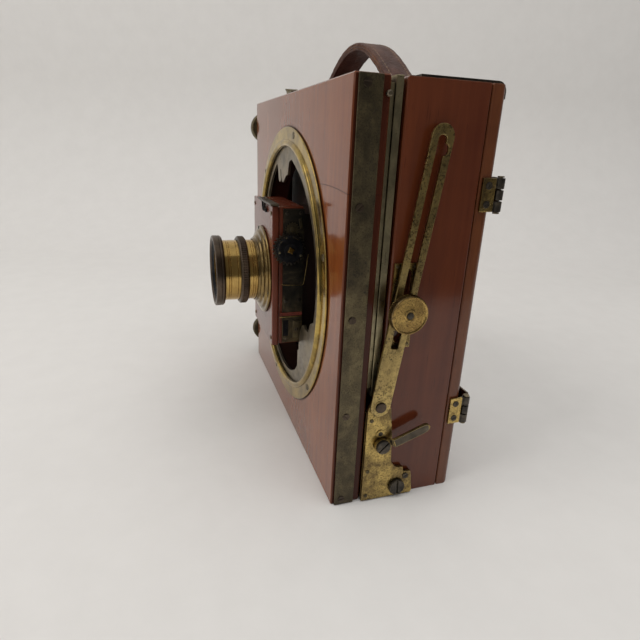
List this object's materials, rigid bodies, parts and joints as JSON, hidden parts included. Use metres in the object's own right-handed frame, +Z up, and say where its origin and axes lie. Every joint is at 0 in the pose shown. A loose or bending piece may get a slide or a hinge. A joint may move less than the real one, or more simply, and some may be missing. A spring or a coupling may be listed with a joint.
{
  "type": "folding field camera",
  "caption": "Folded wooden field camera: brass lens and shutter through a turntable baseboard, slotted side struts, leather handle and hinged focusing screen.",
  "frame": {"origin": "centre of the case's underside", "axes": "+Z up, the lens looks along -Y, +X towards the side with the screen hinges"},
  "size_m": [0.2384, 0.1304, 0.2447],
  "materials": {
    "mahogany": "gloss",
    "dark_wood": "satin",
    "brass": "satin",
    "dark_brass": "aged",
    "steel": "aged",
    "leather": "worn",
    "bellows_leather": "matte",
    "black": "satin",
    "glass": "clear"
  },
  "bodies": {
    "camera_case": {"case": "mahogany", "back_frame": "mahogany", "hinge_leaf_fixed_lower": "dark_brass", "hinge_leaf_fixed_upper": "dark_brass", "hinge_pin_lower": "dark_brass", "hinge_pin_upper": "dark_brass", "bellows": "bellows_leather", "front_standard": "dark_wood", "handle_strap": "leather", "handle_plate_right": "dark_brass", "handle_plate_left": "dark_brass", "pivot_screw_right": "steel", "pivot_screw_left": "steel", "slot_plate_right": "dark_brass", "slot_plate_left": "dark_brass"},
    "rising_front": {"lens_panel": "dark_wood", "shutter_case": "mahogany", "shutter_front_board": "mahogany", "shutter_side_plate": "dark_brass", "top_spring_strip": "dark_brass", "lens_flange": "brass", "lens_barrel": "brass", "lens_hood": "dark_brass", "front_glass": "glass", "rear_glass": "glass"},
    "iris": {"iris_ring": "dark_brass"},
    "winder": {"winding_knob": "black"},
    "screen": {"screen_frame": "mahogany", "focusing_screen": "glass", "hinge_leaf_moving_lower": "dark_brass", "hinge_leaf_moving_upper": "dark_brass"},
    "rear_catch": {"back_catch": "dark_brass"},
    "bed": {"baseboard": "mahogany", "turntable_flange": "brass", "catch_stud": "brass", "edge_strip_right": "dark_brass", "edge_strip_left": "dark_brass", "bed_runner_right": "dark_brass", "bed_runner_left": "dark_brass", "lock_plate_right": "brass", "lock_plate_left": "brass", "lever_screw_right": "steel", "lever_screw_left": "steel", "strut_rivet_right": "brass", "strut_rivet_left": "brass"},
    "turntable": {"turntable_ring": "brass"},
    "focus_carriage": {"focusing_frame": "dark_brass", "focus_rack_right": "brass", "focus_rack_left": "brass"},
    "rear_pinion": {"pinion_rear": "brass"},
    "front_pinion": {"pinion_front": "brass"},
    "bolt": {"bed_bolt": "dark_brass"},
    "lever_right": {"lock_lever_right": "brass"},
    "strut_arm_right": {"strut_right": "brass"},
    "stud_right": {"clamp_stud_right": "brass"},
    "knob_right": {"clamp_knob_right": "brass"},
    "lever_left": {"lock_lever_left": "brass"},
    "strut_arm_left": {"strut_left": "brass"},
    "stud_left": {"clamp_stud_left": "brass"},
    "knob_left": {"clamp_knob_left": "brass"}
  },
  "joints": [
    {"name": "bed_fold", "type": "hinge", "parent": "camera_case", "child": "bed", "pos_m": [0, -0.0071, 0.007], "axis": [1, 0, 0], "range_deg": [0, 90]},
    {"name": "turntable_turn", "type": "hinge", "parent": "bed", "child": "turntable", "pos_m": [-0.002, -0.0441, 0.1085], "axis": [0, -1, 0], "range_deg": [0, 55]},
    {"name": "focus_slide", "type": "slide", "parent": "bed", "child": "focus_carriage", "axis": [0, 0, 1], "range_m": [0, 0.04]},
    {"name": "rear_pinion_turn", "type": "hinge", "parent": "bed", "child": "rear_pinion", "pos_m": [-0.106, -0.0369, 0.022], "axis": [1, 0, 0], "range_deg": [0, 331]},
    {"name": "front_pinion_turn", "type": "hinge", "parent": "bed", "child": "front_pinion", "pos_m": [-0.106, -0.0369, 0.1985], "axis": [1, 0, 0], "range_deg": [0, 331]},
    {"name": "bolt_slide", "type": "slide", "parent": "bed", "child": "bolt", "axis": [-1, 0, 0], "range_m": [0, 0.004]},
    {"name": "front_rise", "type": "slide", "parent": "camera_case", "child": "rising_front", "axis": [0, 0, 1], "range_m": [0, 0.008]},
    {"name": "iris_turn", "type": "hinge", "parent": "rising_front", "child": "iris", "pos_m": [0.0015, -0.0764, 0.109], "axis": [0, 1, 0], "range_deg": [0, 90]},
    {"name": "shutter_wind", "type": "hinge", "parent": "rising_front", "child": "winder", "pos_m": [0.0309, -0.052, 0.1282], "axis": [1, 0, 0], "range_deg": [0, 330]},
    {"name": "screen_swing", "type": "hinge", "parent": "camera_case", "child": "screen", "pos_m": [0.1064, 0.0324, 0.108], "axis": [0, 0, -1], "range_deg": [0, 150]},
    {"name": "rear_catch_lift", "type": "hinge", "parent": "camera_case", "child": "rear_catch", "pos_m": [0.0975, -0.013, 0.2163], "axis": [1, 0, 0], "range_deg": [0, 14], "stiffness_Nm_per_rad": 0.6},
    {"name": "strut_swing_right", "type": "hinge", "parent": "bed", "child": "strut_arm_right", "pos_m": [0.1088, -0.0219, 0.0608], "axis": [1, 0, 0], "range_deg": [-103.2, 0]},
    {"name": "stud_slide_right", "type": "slide", "parent": "strut_arm_right", "child": "stud_right", "axis": [0, 0.1374, 0.9905], "range_m": [0, 0.0768]},
    {"name": "knob_turn_right", "type": "hinge", "parent": "stud_right", "child": "knob_right", "pos_m": [0.1107, -0.01463, 0.1132], "axis": [1, 0, 0], "range_deg": [0, 270]},
    {"name": "lever_turn_right", "type": "hinge", "parent": "bed", "child": "lever_right", "pos_m": [0.1088, -0.0188, 0.0368], "axis": [1, 0, 0], "range_deg": [-15, 58]},
    {"name": "strut_swing_left", "type": "hinge", "parent": "bed", "child": "strut_arm_left", "pos_m": [-0.1088, -0.0219, 0.0608], "axis": [1, 0, 0], "range_deg": [-103.2, 0]},
    {"name": "stud_slide_left", "type": "slide", "parent": "strut_arm_left", "child": "stud_left", "axis": [0, 0.1374, 0.9905], "range_m": [0, 0.0768]},
    {"name": "knob_turn_left", "type": "hinge", "parent": "stud_left", "child": "knob_left", "pos_m": [-0.1107, -0.01463, 0.1132], "axis": [1, 0, 0], "range_deg": [0, 270]},
    {"name": "lever_turn_left", "type": "hinge", "parent": "bed", "child": "lever_left", "pos_m": [-0.1088, -0.0188, 0.0368], "axis": [1, 0, 0], "range_deg": [-15, 58]}
  ],
  "couplings": [
    {"joint": "rear_pinion_turn", "follows": "focus_slide", "rad_per_m": 143.9},
    {"joint": "front_pinion_turn", "follows": "focus_slide", "rad_per_m": 143.9},
    {"joint": "strut_swing_right", "follows": "bed_fold", "ratio": -1.1448},
    {"joint": "stud_slide_right", "follows": "bed_fold", "m_per_rad": 0.0488},
    {"joint": "strut_swing_left", "follows": "bed_fold", "ratio": -1.1448},
    {"joint": "stud_slide_left", "follows": "bed_fold", "m_per_rad": 0.0488}
  ]
}
